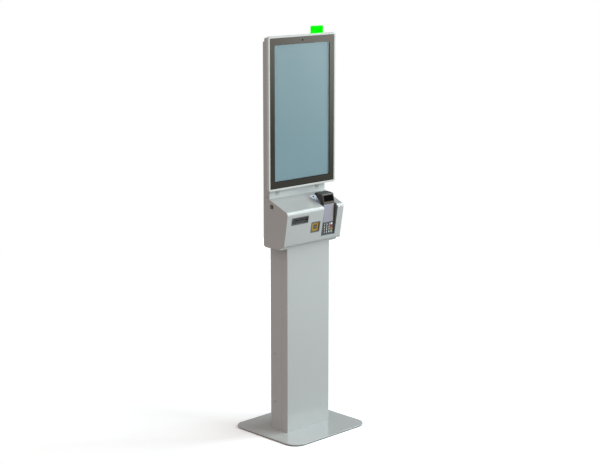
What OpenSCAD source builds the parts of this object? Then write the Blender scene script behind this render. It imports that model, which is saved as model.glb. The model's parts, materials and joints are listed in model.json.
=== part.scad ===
// Self-ordering kiosk: a portrait touch screen on a slim column, with a hinged hood below
// the screen that carries a receipt outlet, a code scanner and a payment terminal.
// Millimetres. +Z is up and the customer stands on the -Y side.
// The origin is the middle of the footprint, on the floor.

/* [Base] */
// Width of the base plate
base_w = 470; // [420:1:560]
// Depth of the base plate
base_d = 420; // [360:1:520]
// Thickness of the base plate
base_t = 5; // [4:0.5:12]
// Radius of the base plate's corners
base_corner_r = 60; // [20:1:90]
// Thickness of the rubber underlay
underlay_t = 3; // [1:0.5:5]
// How far the underlay stays inside the plate's edge
underlay_inset = 2; // [1:0.5:20]

/* [Column] */
// Width of the column
column_w = 269; // [240:1:330]
// Depth of the column, from its front to the common rear plane
column_d = 110; // [95:1:140]
// Height of the column's top above the floor
column_top = 866; // [780:1:960]
// How far the front cover wraps round the sides
cover_wrap = 33; // [15:1:45]
// Outside radius of the cover's bends
cover_bend_r = 4; // [3:0.5:8]
// Gap along the seam between the two covers
seam_gap = 0.5; // [0.5:0.1:2]
// Width of each frame upright
upright_w = 30; // [20:1:40]
// Depth of each frame upright
upright_d = 44; // [30:1:50]
// Wall of the uprights
upright_wall = 2; // [1.5:0.5:4]
// Height of the lower side screws
side_screw_low = 140; // [100:1:200]
// Height of the upper side screws
side_screw_high = 367; // [300:1:450]
// Distance of the side screws from the rear plane
side_screw_inset = 31; // [24:1:36]

/* [Sheet metal] */
// Thickness of the folded steel sheet
sheet = 1.5; // [1:0.1:2]
// Position of the common rear plane behind the origin
rear_y = 57; // [50:1:70]

/* [Spine] */
// Width of the spine
spine_w = 346; // [320:1:360]
// Depth of the spine
spine_d = 38.5; // [32:0.5:44]
// Height of the spine's top above the picture's middle
spine_reach = 312.5; // [240:0.5:320]
// Radius of the spine's lower rear corner
spine_corner_r = 11; // [6:0.5:20]
// Width of the flange that carries the back cover
back_flange = 16; // [10:1:24]

/* [Monitor] */
// Width of the picture
picture_w = 338; // [320:1:360]
// Height of the picture
picture_h = 600; // [560:1:620]
// Height of the picture's middle above the column's top
picture_rise = 599.5; // [580:0.5:640]
// Dark border of the glass at the sides
border_side = 29.5; // [15:0.5:40]
// Dark border of the glass at top and bottom
border_end = 30.5; // [24:0.5:40]
// Width of the frame's rim round the glass
frame_rim = 8.5; // [5:0.5:14]
// Depth of the front frame
frame_d = 12; // [9:0.5:16]
// Corner radius of the front frame
frame_corner_r = 11; // [6:0.5:16]
// Thickness of the cover glass
glass_t = 3; // [2:0.5:4]
// Thickness of the display panel
panel_t = 9; // [6:0.5:10]
// Depth of the monitor, from the frame's front to the spine
monitor_d = 33.5; // [30:0.5:40]
// How far the rear housing stays inside the frame's outline
housing_inset = 6; // [3:0.5:10]
// Wall of the rear housing
housing_wall = 2; // [1.5:0.5:3]
// Pitch of the monitor's fixing screws
vesa_pitch = 100; // [75:25:200]

/* [Status light] */
// Width of the status light
light_w = 70; // [40:1:100]
// Depth of the status light
light_d = 12; // [8:1:16]
// Height of the status light above the housing
light_h = 38; // [25:1:50]
// Position of the light's middle across the monitor
light_x = 110; // [-120:1:140]

/* [Hood] */
// Width of the hood
hood_w = 352; // [350:1:364]
// Height of the hood's front lower edge above the column's top
hood_foot_rise = 16.5; // [14:0.5:24]
// Distance of the hood's front lower edge from the column's front
hood_overhang = 23.4; // [20:0.2:30]
// Length of the hood's front, up to the sharp corner of the bend
front_len = 156; // [148:1:175]
// Lean of the hood's front from upright
front_lean = 9.7; // [5:0.1:14]
// Slope of the hood's top
top_slope = 22.4; // [18:0.1:26]
// Outside radius of the front bend
bend_r = 18; // [10:1:24]
// Radius of the side panels' lower rear corner
side_corner_r = 14; // [6:1:30]
// Height of the tray's front lip
lip_h = 7; // [5:0.5:10]
// Height of the tray's side upstands
upstand_h = 24; // [15:1:40]

/* [Hinge] */
// Radius of the hinge knuckles
knuckle_r = 3; // [2.5:0.25:4]
// Radius of the hinge pin
pin_r = 1.5; // [1:0.1:1.8]
// Number of knuckles along the hinge
knuckles = 11; // [5:2:21]
// Reach of each hinge leaf from the pin
leaf_reach = 12; // [9:0.5:13]
// Thickness of the hinge leaves
leaf_t = 1.2; // [0.8:0.1:1.5]

/* [Lock] */
// Diameter of the lock's head
lock_head_d = 19; // [17:0.5:24]
// Diameter of the lock's barrel
lock_barrel_d = 16; // [14:0.5:18]
// Diameter of the lock's plug
lock_plug_d = 12; // [9:0.5:13]
// Length of the barrel inside the hood
lock_barrel_len = 16; // [12:1:22]
// Distance of the lock in front of the spine
lock_reach = 18.5; // [17:0.5:30]
// Depth of the lock's middle below the hood's top edge
lock_drop = 24; // [20:1:40]
// Reach of the lock's cam
cam_reach = 16; // [14:0.5:16.5]
// Width of the lock's cam
cam_w = 10; // [8:0.5:12]

/* [Printer] */
// Position of the printer's middle across the hood
printer_x = -95; // [-105:1:-80]
// Width of the receipt outlet
outlet_w = 104; // [96:1:110]
// Height of the receipt outlet
outlet_h = 34.5; // [30:0.5:40]
// Height of the outlet's middle along the hood's front
outlet_v = 114.5; // [108:0.5:122]
// Depth of the outlet bezel
outlet_d = 14; // [11:0.5:16]
// Width of the paper
paper_w = 80; // [58:1:80]
// Radius of the paper roll
roll_r = 34; // [25:0.5:34]
// Radius of the roll's core
core_r = 8.5; // [6:0.5:10]
// Radius of the platen roller
platen_r = 6; // [5:0.25:8]
// Teeth of the platen gear
gear_teeth = 36; // [30:2:40]
// Teeth of the motor pinion
pinion_teeth = 14; // [14:4:18]
// Module of the gears
gear_module = 1; // [0.9:0.05:1.1]
// Travel of the cutter blade
cutter_travel = 8; // [6:0.5:9]

/* [Scanner] */
// Position of the scanner's middle across the hood
scanner_x = 8; // [0:1:14]
// Height of the scanner's middle along the hood's front
scanner_v = 70; // [60:1:76]
// Width of the scanner's face
scanner_w = 56; // [46:1:60]
// Height of the scanner's face
scanner_h = 50; // [44:1:56]
// Depth of the scanner behind the hood's front
scanner_d = 38; // [25:1:45]
// Width of the lit ring
ring_w = 44; // [36:1:48]
// Height of the lit ring
ring_h = 39; // [34:1:44]
// Size of the dark window inside the ring
window_size = 21; // [16:1:26]
// Depth of the ring below the scanner's face
ring_recess = 3; // [2:0.5:5]

/* [Payment terminal] */
// Position of the terminal's middle across the hood
terminal_x = 97; // [94:0.5:99]
// Distance of the terminal's face behind the hood's lower front edge
terminal_setback = -1.2; // [-3:0.1:4]
// Height of the terminal's reference line above the hood's lower front edge
terminal_rise = 52.5; // [48:0.5:58]
// Lean of the terminal's face from upright
terminal_lean = 4.5; // [2:0.1:8]
// Width of the terminal
terminal_w = 80; // [74:1:82]
// Height of the terminal's body
terminal_h = 145; // [140:1:150]
// Depth of the terminal's body
terminal_d = 26; // [22:0.5:30]
// Wall of the terminal's body
terminal_wall = 3; // [2.5:0.25:4]
// Width of the terminal's head at its face
head_w = 68; // [62:1:74]
// Width of the terminal's head at its rear
head_rear_w = 78; // [74:1:80]
// Width of the terminal's display
display_w = 64; // [56:1:68]
// Height of the terminal's display
display_h = 84; // [70:1:86]
// Left edge of the channel in the hood
channel_left = 51; // [48:0.5:54]
// Right edge of the channel in the hood
channel_right = 139; // [138.5:0.5:144]
// Distance of the channel's rear end from the spine
channel_rear_gap = 21.5; // [12:0.5:30]

/* [Keys] */
// Pitch of the keys across
key_pitch_x = 14.9; // [14:0.1:16]
// Pitch of the keys up and down
key_pitch_z = 11.8; // [11:0.1:12.4]
// Width of a key
key_w = 11; // [9:0.1:12]
// Height of a key
key_h = 8.4; // [7:0.1:9]
// How far a key stands out of the terminal's face
key_proud = 1.4; // [1:0.1:2]
// Travel of a key
key_travel = 1; // [0.5:0.1:1.2]

/* [Screws] */
// Diameter of the screws
screw_d = 4; // [3:0.5:5]
// Diameter of the screw heads
screw_head_d = 8; // [6:0.5:9]
// Height of the screw heads
screw_head_h = 2.4; // [1.5:0.1:3]

/* [Clearances] */
// Radial running fit of shafts and pins
running_fit = 0.05; // [0.02:0.01:0.1]
// Gap round a piece that moves or slides
moving_gap = 0.4; // [0.3:0.05:0.6]
// Gap round a piece that is fitted into a recess
fitted_gap = 0.2; // [0.1:0.05:0.4]

/* [Hidden] */
round_fn = 64;
small_fn = 32;
eps = 0.01;

// Colours
steel_grey = [0.72, 0.73, 0.72];
frame_white = [0.80, 0.81, 0.80];
glass_dark = [0.20, 0.20, 0.19];
plastic_dark = [0.20, 0.20, 0.20];
bright_steel = [0.62, 0.63, 0.65];

// Heights and planes shared by several pieces
plate_top = underlay_t + base_t;
column_front_y = rear_y - column_d;
spine_front_y = rear_y - spine_d;
tray_top = column_top + sheet;
picture_z = column_top + picture_rise;
spine_top = picture_z + spine_reach;
monitor_front_y = spine_front_y - monitor_d;
glass_front_y = monitor_front_y + 0.5;
frame_back_y = monitor_front_y + frame_d;
glass_w = picture_w + 2 * border_side;
glass_h = picture_h + 2 * border_end;
frame_w = glass_w + 2 * frame_rim;
frame_h = glass_h + 2 * frame_rim;
housing_w = frame_w - 2 * housing_inset;
housing_h = frame_h - 2 * housing_inset;
housing_top = picture_z + housing_h / 2;
housing_bottom = picture_z - housing_h / 2;

// Side outline of the hood, as points [y, z]
hood_foot = [column_front_y - hood_overhang, column_top + hood_foot_rise];
front_up = [-sin(front_lean), cos(front_lean)];
front_in = [cos(front_lean), sin(front_lean)];
top_back = [cos(top_slope), sin(top_slope)];
top_in = [sin(top_slope), -cos(top_slope)];
hood_corner = hood_foot + front_len * front_up;
bend_centre = hood_corner + bend_r * (front_in + top_in) / (1 + front_in * top_in);
side_rear_y = rear_y - 2 * sheet;
wrap_y = spine_front_y + 11;
lip_top = [column_front_y, column_top + lip_h];
hood_half = hood_w / 2;
hood_inner_w = hood_w - 2 * sheet;
tray_half = hood_half - sheet - moving_gap;

// Hinge axis in the corner between the hood's front and the tray's sloping return
return_angle = atan2(hood_foot[1] - lip_top[1], lip_top[0] - hood_foot[0]);
return_back = [cos(return_angle), -sin(return_angle)];
return_in = [sin(return_angle), cos(return_angle)];
hinge_offset = sheet + knuckle_r;
hinge_axis = hood_foot + hinge_offset * (front_in + return_in) / (1 + front_in * return_in);
return_front = hinge_axis - hinge_offset * return_in + knuckle_r * return_back;
hood_edge_v = 4.2;
pin_len = hood_inner_w - 6;
knuckle_pitch = (pin_len - 4) / knuckles;
knuckle_gap = 0.6;

// Lock
lock_y = spine_front_y - lock_reach;
lock_z = top_z(lock_y) - lock_drop;
cam_t = 3;
lock_inner_x = -hood_half + lock_barrel_len;
strike_gap = 2;
strike_w = 20;
strike_t = 2.5;
strike_overlap = 4.5;

// Printer
outlet_back = front_point(outlet_d, outlet_v);
paper_line_z = outlet_back[1];
printer_front_y = outlet_back[0] + 6;
platen_y = printer_front_y + 18;
platen_z = paper_line_z - platen_r;
gear_r = gear_module * gear_teeth / 2;
pinion_r = gear_module * pinion_teeth / 2;
motor_z = platen_z - gear_r - pinion_r;
motor_r = 15;
motor_len = 24;
plate_t = 2;
printer_half = paper_w / 2 + 4;
roll_y = spine_front_y - 3 - roll_r;
roll_z = tray_top + 26 + roll_r;
shaft_r = 3;
gear_t = 5;
gear_x = printer_x + printer_half + plate_t + 1;
cutter_y = printer_front_y + 3;
cutter_t = 1.2;
cutter_h = 14;

// Payment terminal
terminal_ref = [hood_foot[0] + terminal_setback, hood_foot[1] + terminal_rise];
body_low = -33;
body_high = body_low + terminal_h;
channel_x = (channel_left + channel_right) / 2;
channel_w = channel_right - channel_left;
channel_end = [spine_front_y - channel_rear_gap, top_z(spine_front_y - channel_rear_gap)];
keypad_mid = -1.7;
display_mid = 67.5;
floor_turn = display_mid + 8;
cable_hole_d = 9;
cable_hole_inset = 22;
display_t = 1.5;
key_flange = 1;
key_flange_t = 1;
mat_t = 1.5;
mat_gap = 0.6;
key_back = terminal_wall + moving_gap + key_flange_t;

// Keys: name, column, row and cap colour
KEYS = [
    for (row = [0:2], column = [0:2]) [str("key_", 3 * row + column + 1), column, row, plastic_dark],
    ["key_star", 0, 3, plastic_dark],
    ["key_0", 1, 3, plastic_dark],
    ["key_hash", 2, 3, plastic_dark],
    ["key_menu", 3, 0, [0.92, 0.92, 0.90]],
    ["key_cancel", 3, 1, [0.75, 0.20, 0.16]],
    ["key_clear", 3, 2, [0.88, 0.68, 0.10]],
    ["key_enter", 3, 3, [0.35, 0.55, 0.45]]
];

// Height of the hood's top surface at a depth
function top_z(y) = hood_corner[1] + (y - hood_corner[0]) * tan(top_slope);

// Point [y, z] at a depth behind the hood's front and a height along it
function front_point(depth, v) = hood_foot + depth * front_in + v * front_up;

// Point [y, z] at a depth behind the terminal's face and a height along it
function terminal_point(depth, h) =
    terminal_ref + [depth * cos(terminal_lean) - h * sin(terminal_lean),
                    depth * sin(terminal_lean) + h * cos(terminal_lean)];

// Involute function, in degrees
function involute(angle) = tan(angle) * 180 / PI - angle;

// Outline of a spur gear with involute flanks
function gear_points(teeth) =
    let (pitch_r = gear_module * teeth / 2,
         base_r = pitch_r * cos(20),
         root_r = pitch_r - 1.25 * gear_module,
         tip_r = pitch_r + 0.85 * gear_module,
         backlash = 0.12 * gear_module,
         half = 90 / teeth - backlash / (2 * pitch_r) * 180 / PI,
         low_r = max(base_r, root_r),
         radii = [for (i = [0:4]) low_r + (tip_r - low_r) * i / 4],
         spread = [for (r = radii) half + involute(20) - involute(acos(min(1, base_r / r)))])
    [for (k = [0:teeth - 1])
        let (middle = 360 * k / teeth,
             rising = concat([[root_r, -spread[0]]], [for (i = [0:4]) [radii[i], -spread[i]]]),
             falling = concat([for (i = [4:-1:0]) [radii[i], spread[i]]], [[root_r, spread[0]]]))
        for (p = concat(rising, falling)) p[0] * [cos(middle + p[1]), sin(middle + p[1])]];

// Shared shapes

// Rectangle with round corners, centred
module rounded_rect(w, h, r) {
    square([w - 2 * r, h], center = true);
    square([w, h - 2 * r], center = true);
    for (sx = [-1, 1], sy = [-1, 1])
        translate([sx * (w / 2 - r), sy * (h / 2 - r)])
            circle(r, $fn = round_fn);
}

// A side outline in [y, z] drawn out across X
module across(w, x = 0) {
    translate([x, 0, 0])
        rotate([90, 0, 90])
            linear_extrude(w, center = true)
                children();
}

// A front outline in [x, z] drawn out towards the back
module facing(depth) {
    rotate([90, 0, 0])
        translate([0, 0, -depth])
            linear_extrude(depth)
                children();
}

// A round bar along X from one end to the other
module bar(r, x_from, x_to, y, z) {
    translate([x_from, y, z])
        rotate([0, 90, 0])
            cylinder(r = r, h = x_to - x_from, $fn = round_fn);
}

// The hood's front as a frame: X across, Y inwards, Z up along the front
module on_front() {
    translate([0, hood_foot[0], hood_foot[1]])
        rotate([front_lean, 0, 0])
            children();
}

// The terminal's face as a frame: X across, Y inwards, Z up along the face
module on_terminal() {
    translate([terminal_x, terminal_ref[0], terminal_ref[1]])
        rotate([terminal_lean, 0, 0])
            children();
}

// The hinge axis as a frame, turned to one of its leaves
module on_hinge(turn) {
    translate([0, hinge_axis[0], hinge_axis[1]])
        rotate([turn, 0, 0])
            children();
}

// Sheet folded along a path in [y, z], thick on the path's left
module folded(path, t) {
    last = len(path) - 1;
    left = [for (i = [0:last - 1])
        let (along = (path[i + 1] - path[i]) / norm(path[i + 1] - path[i])) [-along[1], along[0]]];
    inner = [for (i = [0:last])
        let (before = left[max(i - 1, 0)], after = left[min(i, last - 1)])
        path[i] + t * (before + after) / (1 + before * after)];
    polygon(concat(path, [for (i = [last:-1:0]) inner[i]]));
}

// Screw with a domed head, pointing down from the origin
module pan_screw(length) {
    translate([0, 0, -length])
        cylinder(d = screw_d, h = length, $fn = small_fn);
    difference() {
        cylinder(d1 = screw_head_d, d2 = screw_head_d * 0.72, h = screw_head_h, $fn = small_fn);
        for (turn = [0, 90])
            rotate(turn)
                translate([0, 0, screw_head_h])
                    cube([screw_head_d * 0.5, 0.9, 1.6], center = true);
    }
}

// Row of upright round-ended slots in the [x, z] plane
module vent_slots(count, pitch, slot_w, slot_h) {
    for (i = [0:count - 1])
        translate([(i - (count - 1) / 2) * pitch, 0])
            rounded_rect(slot_w, slot_h, slot_w / 2 - eps);
}

// Base

module base_plate() {
    color(steel_grey)
        translate([0, 0, underlay_t])
            linear_extrude(base_t)
                rounded_rect(base_w, base_d, base_corner_r);
}

module base_underlay() {
    color(plastic_dark)
        linear_extrude(underlay_t)
            rounded_rect(base_w - 2 * underlay_inset, base_d - 2 * underlay_inset, base_corner_r - underlay_inset);
}

// Column

column_mid_y = (column_front_y + rear_y) / 2;
seam_y = column_front_y + cover_wrap;
upright_x = column_w / 2 - sheet - upright_w / 2;
upright_y = rear_y - side_screw_inset;
foot_t = 6;
foot_margin = 8;
column_h = column_top - plate_top;

// Cross-section of the column's skin, as a closed ring
module column_ring() {
    difference() {
        translate([0, column_mid_y])
            rounded_rect(column_w, column_d, cover_bend_r);
        translate([0, column_mid_y])
            rounded_rect(column_w - 2 * sheet, column_d - 2 * sheet, cover_bend_r - sheet);
    }
}

module column_front_cover() {
    color(steel_grey)
        translate([0, 0, plate_top])
            linear_extrude(column_h)
                intersection() {
                    column_ring();
                    translate([-column_w, column_front_y - eps])
                        square([2 * column_w, cover_wrap + eps]);
                }
}

inlet_z = plate_top + 52;
inlet_w = 48;
inlet_h = 28;
inlet_gap = 9;
inlet_x = upright_x - upright_w / 2 - inlet_gap - inlet_w / 2;

module column_rear_cover() {
    color(steel_grey)
        difference() {
            translate([0, 0, plate_top])
                linear_extrude(column_h)
                    intersection() {
                        column_ring();
                        translate([-column_w, seam_y + seam_gap])
                            square([2 * column_w, column_d]);
                    }
            for (side = [-1, 1], z = [side_screw_low, side_screw_high])
                bar(screw_d / 2 + fitted_gap, side * column_w / 2 - 5, side * column_w / 2 + 5, upright_y, z);
            translate([inlet_x, rear_y - 5, inlet_z])
                facing(10)
                    square([inlet_w, inlet_h] + [fitted_gap, fitted_gap], center = true);
            for (z = [column_top - 70, plate_top + 150])
                translate([0, rear_y - 5, z])
                    facing(10)
                        vent_slots(14, 9, 4, 45);
        }
}

shelf_z = 300;
shelf_h = 150;
shelf_t = 2;
supply_w = 190;
supply_h = 110;
supply_d = 42;

module column_frame() {
    inner_w = column_w - 2 * sheet;
    inner_d = column_d - 2 * sheet;
    color(bright_steel)
        difference() {
            union() {
                for (z = [plate_top, column_top - foot_t])
                    translate([-inner_w / 2, column_mid_y - inner_d / 2 + foot_margin, z])
                        cube([inner_w, inner_d - 2 * foot_margin, foot_t]);
                for (side = [-1, 1])
                    translate([side * upright_x - upright_w / 2, upright_y - upright_d / 2, plate_top])
                        cube([upright_w, upright_d, column_h]);
                translate([-upright_x, upright_y - shelf_t, shelf_z - shelf_h / 2])
                    cube([2 * upright_x, shelf_t, shelf_h]);
            }
            for (side = [-1, 1])
                translate([side * upright_x, upright_y, plate_top - 1])
                    linear_extrude(column_h + 2)
                        square([upright_w - 2 * upright_wall, upright_d - 2 * upright_wall], center = true);
            for (side = [-1, 1], z = [side_screw_low, side_screw_high])
                bar(screw_d / 2 + fitted_gap, side * (column_w / 2) - 8, side * (column_w / 2) + 8, upright_y, z);
            translate([0, column_mid_y, column_top - foot_t - 1])
                linear_extrude(foot_t + 2)
                    rounded_rect(110, 50, 10);
        }
}

module power_supply() {
    color(bright_steel)
        translate([0, upright_y - shelf_t - supply_d, shelf_z])
            difference() {
                facing(supply_d)
                    square([supply_w, supply_h], center = true);
                translate([0, -1, 12])
                    facing(4)
                        vent_slots(18, 9, 4, 60);
                translate([-supply_w / 2 - 1, 8, -supply_h / 2 - 1])
                    cube([supply_w + 2, supply_d - 16, 13]);
            }
}

module power_inlet() {
    flange_t = 2;
    color(plastic_dark)
        translate([inlet_x, rear_y, inlet_z])
            difference() {
                union() {
                    translate([0, -26, 0])
                        facing(26)
                            square([inlet_w - 1, inlet_h - 1], center = true);
                    facing(flange_t)
                        rounded_rect(inlet_w + 12, inlet_h + 6, 4);
                }
                translate([0, -15, 0])
                    facing(20)
                        rounded_rect(27, 19, 3);
                for (side = [-1, 1])
                    translate([side * (inlet_w / 2 + 3), -5, 0])
                        facing(10)
                            circle(d = 2.8, $fn = small_fn);
            }
}

// Tray under the hood, with the upright strip that the lock's cam swings behind

module tray() {
    notch = tray_half - column_w / 2;
    color(steel_grey) {
        difference() {
            across(2 * tray_half)
                folded([return_front, lip_top, [column_front_y, column_top], [rear_y, column_top]], sheet);
            for (side = [-1, 1])
                translate([side * (tray_half - notch / 2) - notch / 2 - eps, rear_y - spine_corner_r, column_top - 1])
                    cube([notch + 2 * eps, spine_corner_r + 1, sheet + 2]);
        }
        for (side = [-1, 1])
            translate([side * (tray_half - sheet / 2) - sheet / 2, column_front_y, column_top])
                cube([sheet, spine_front_y - 2 - column_front_y, upstand_h]);
        translate([lock_inner_x - strike_w / 2 + cam_t / 2, lock_y - cam_w / 2 - strike_gap - strike_t, column_top])
            cube([strike_w, strike_t, lock_z - cam_reach + strike_overlap - column_top]);
    }
}

// Spine

corner_z = tray_top + spine_corner_r;
corner_lip = 6;
back_low = corner_z + corner_lip;
back_h = spine_top - sheet - back_low;
back_mid_z = back_low + back_h / 2;
cover_margin = 2;
cover_w = spine_w - 2 * sheet - 2 * cover_margin;
cover_h = back_h - 2 * cover_margin;
cover_screws = [for (sx = [-1, 1], k = [-1, 0, 1])
    [sx * (spine_w / 2 - sheet - back_flange / 2 - 1), back_mid_z + k * (cover_h / 2 - 20)]];

// Block of the spine with its round lower rear corner, shrunk by a wall
module spine_block(wall) {
    half = spine_w / 2 - wall;
    corner_y = rear_y - spine_corner_r;
    across(2 * half)
        polygon([[spine_front_y + wall, tray_top + wall], [corner_y, tray_top + wall], [corner_y, corner_z],
                 [rear_y - wall, corner_z], [rear_y - wall, spine_top - wall],
                 [spine_front_y + wall, spine_top - wall]]);
    bar(spine_corner_r - wall, -half, half, corner_y, corner_z);
}

module spine_body() {
    color(steel_grey)
        difference() {
            union() {
                difference() {
                    spine_block(0);
                    spine_block(sheet);
                    translate([0, rear_y - 2 * sheet, back_mid_z])
                        facing(3 * sheet)
                            square([spine_w - 2 * sheet, back_h], center = true);
                }
                for (side = [-1, 1])
                    translate([side * (spine_w - back_flange) / 2, rear_y - 2 * sheet, back_mid_z])
                        facing(sheet)
                            square([back_flange, back_h + 2 * sheet], center = true);
            }
            for (sx = [-1, 1], sz = [-1, 1])
                translate([sx * vesa_pitch / 2, spine_front_y - 1, picture_z + sz * vesa_pitch / 2])
                    facing(sheet + 2)
                        circle(d = screw_d + 2 * fitted_gap, $fn = small_fn);
            translate([0, spine_front_y - 1, picture_z])
                facing(sheet + 2)
                    rounded_rect(60, 60, 8);
            translate([0, spine_front_y - 1, tray_top + 110])
                facing(sheet + 2)
                    rounded_rect(60, 60, 8);
            for (side = [-1, 1])
                translate([side * bracket_x, spine_front_y - 1, bracket_screw_z])
                    facing(sheet + 2)
                        circle(d = screw_d + 2 * fitted_gap, $fn = small_fn);
            for (p = cover_screws)
                translate([p[0], rear_y - 2 * sheet - 1, p[1]])
                    facing(sheet + 2)
                        circle(d = screw_d + 2 * fitted_gap, $fn = small_fn);
        }
}

module spine_back_cover() {
    color(steel_grey)
        translate([0, rear_y - sheet, back_mid_z])
            difference() {
                facing(sheet)
                    square([cover_w, cover_h], center = true);
                for (z = [-cover_h / 2 + 90, cover_h / 2 - 90])
                    translate([0, -1, z])
                        facing(sheet + 2)
                            vent_slots(20, 9, 4, 60);
                for (p = cover_screws)
                    translate([p[0], -1, p[1] - back_mid_z])
                        facing(sheet + 2)
                            circle(d = screw_d + 2 * fitted_gap, $fn = small_fn);
            }
}

computer_w = 190;
computer_h = 150;
computer_d = 26;
computer_rise = 113;
fin_margin = 20;

module computer_module() {
    fins = 15;
    fin_pitch = computer_w / fins;
    color(plastic_dark)
        translate([0, spine_front_y + sheet, housing_bottom + computer_rise])
            difference() {
                facing(computer_d)
                    rounded_rect(computer_w, computer_h, 5);
                for (i = [1:fins - 1])
                    translate([-computer_w / 2 + i * fin_pitch, computer_d - 8, 10])
                        facing(10)
                            square([fin_pitch * 0.5, computer_h - 2 * fin_margin], center = true);
            }
}

// Monitor

module monitor_frame() {
    color(frame_white)
        translate([0, monitor_front_y, picture_z])
            difference() {
                facing(frame_d)
                    rounded_rect(frame_w, frame_h, frame_corner_r);
                translate([0, -1, 0])
                    facing(glass_t + 1.5)
                        rounded_rect(glass_w, glass_h, frame_corner_r - frame_rim + 2);
                facing(frame_d + 1)
                    rounded_rect(glass_w - 10, glass_h - 10, 3);
            }
}

module cover_glass() {
    color(glass_dark)
        translate([0, glass_front_y, picture_z])
            facing(glass_t)
                rounded_rect(glass_w - 2 * fitted_gap, glass_h - 2 * fitted_gap, frame_corner_r - frame_rim + 1.8);
}

panel_margin_w = 7;

module lcd_panel() {
    color([0.55, 0.66, 0.68])
        translate([0, glass_front_y + glass_t, picture_z])
            facing(panel_t)
                square([picture_w, picture_h] + 2 * [panel_margin_w, panel_margin_w], center = true);
}

module camera_module() {
    camera_z = picture_z + picture_h / 2 + border_end / 2;
    color(plastic_dark)
        translate([0, glass_front_y + glass_t, camera_z]) {
            facing(4)
                circle(d = 8, $fn = small_fn);
            translate([0, 4, 0])
                facing(2)
                    rounded_rect(26, 9, 2);
        }
}

module monitor_housing() {
    housing_d = spine_front_y - frame_back_y;
    color(steel_grey)
        translate([0, frame_back_y, picture_z])
            difference() {
                facing(housing_d)
                    rounded_rect(housing_w, housing_h, frame_corner_r - housing_inset + 3);
                translate([0, -1, 0])
                    facing(housing_d - housing_wall + 1)
                        rounded_rect(housing_w - 2 * housing_wall, housing_h - 2 * housing_wall, 5);
                for (sx = [-1, 1], sz = [-1, 1])
                    translate([sx * vesa_pitch / 2, housing_d - 6, sz * vesa_pitch / 2])
                        facing(10)
                            circle(d = screw_d + 2 * fitted_gap, $fn = small_fn);
                translate([0, housing_d - 6, 0])
                    facing(10)
                        rounded_rect(60, 60, 8);
            }
}

bracket_x = 124.5;
bracket_w = 24;
bracket_drop = 34;
bracket_t = 2;
bracket_screw_z = housing_bottom - bracket_drop + bracket_w / 2;

module lower_brackets() {
    shelf_d = 13;
    color(frame_white)
        for (side = [-1, 1])
            translate([side * bracket_x, spine_front_y - bracket_t, 0])
                difference() {
                    union() {
                        facing(bracket_t) {
                            translate([0, bracket_screw_z])
                                circle(d = bracket_w, $fn = round_fn);
                            translate([-bracket_w / 2, bracket_screw_z])
                                square([bracket_w, housing_bottom - bracket_screw_z]);
                        }
                        translate([-bracket_w / 2, -shelf_d, housing_bottom - bracket_t])
                            cube([bracket_w, shelf_d + bracket_t, bracket_t]);
                    }
                    translate([0, -1, bracket_screw_z])
                        facing(bracket_t + 2)
                            circle(d = screw_d + 2 * fitted_gap, $fn = small_fn);
                }
}

module light_lens() {
    light_wall = 2.5;
    light_y = (frame_back_y + spine_front_y) / 2 - light_d / 2;
    color([0.05, 0.95, 0.10])
        translate([light_x, light_y, housing_top])
            difference() {
                facing(light_d)
                    translate([0, light_h / 2]) {
                        rounded_rect(light_w, light_h, 3);
                        translate([0, -light_h / 4])
                            square([light_w, light_h / 2], center = true);
                    }
                translate([-light_w / 2 + light_wall, light_wall, -1])
                    cube([light_w - 2 * light_wall, light_d - 2 * light_wall, light_h - light_wall + 1]);
            }
}

// Screws of one kind, used on the column, the spine, the brackets and the monitor
module pan_screws() {
    color(bright_steel) {
        for (side = [-1, 1], z = [side_screw_low, side_screw_high])
            translate([side * column_w / 2, upright_y, z])
                rotate([0, side * 90, 0])
                    pan_screw(sheet + upright_wall + 3);
        for (p = cover_screws)
            translate([p[0], rear_y, p[1]])
                rotate([-90, 0, 0])
                    pan_screw(2 * sheet + 3);
        for (side = [-1, 1])
            translate([side * bracket_x, spine_front_y - bracket_t, bracket_screw_z])
                rotate([90, 0, 0])
                    pan_screw(bracket_t + sheet + 3);
        for (sx = [-1, 1], sz = [-1, 1])
            translate([sx * vesa_pitch / 2, spine_front_y + sheet, picture_z + sz * vesa_pitch / 2])
                rotate([-90, 0, 0])
                    pan_screw(sheet + housing_wall + 3);
    }
}

// Hood

// Full block of the hood, with its round front bend and its round lower rear corners
module hood_block() {
    low_bend = bend_centre - bend_r * front_in;
    high_bend = bend_centre - bend_r * top_in;
    wrap_end = [wrap_y, top_z(wrap_y)];
    across(hood_w)
        polygon([hood_foot, low_bend, bend_centre, high_bend, wrap_end, [side_rear_y, wrap_end[1]],
                 [side_rear_y, column_top + side_corner_r],
                 [side_rear_y - side_corner_r, column_top + side_corner_r], [side_rear_y - side_corner_r, column_top],
                 [column_front_y, column_top], lip_top]);
    bar(bend_r, -hood_half, hood_half, bend_centre[0], bend_centre[1]);
    bar(side_corner_r, -hood_half, hood_half, side_rear_y - side_corner_r, column_top + side_corner_r);
}

// Room inside the hood: everything behind its front and under its top, open below and behind
module hood_room() {
    bend = bend_r - sheet;
    below = 60;
    foot = hood_foot + sheet * front_in - below * front_up;
    low_bend = bend_centre - bend * front_in;
    high_bend = bend_centre - bend * top_in;
    edge_y = spine_front_y - 1;
    edge_z = top_z(edge_y) - sheet / cos(top_slope);
    far = rear_y + below;
    across(hood_inner_w)
        polygon([foot, low_bend, bend_centre, high_bend, [edge_y, edge_z], [edge_y, edge_z + below],
                 [far, edge_z + below], [far, foot[1]]]);
    bar(bend, -hood_inner_w / 2, hood_inner_w / 2, bend_centre[0], bend_centre[1]);
}

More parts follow.
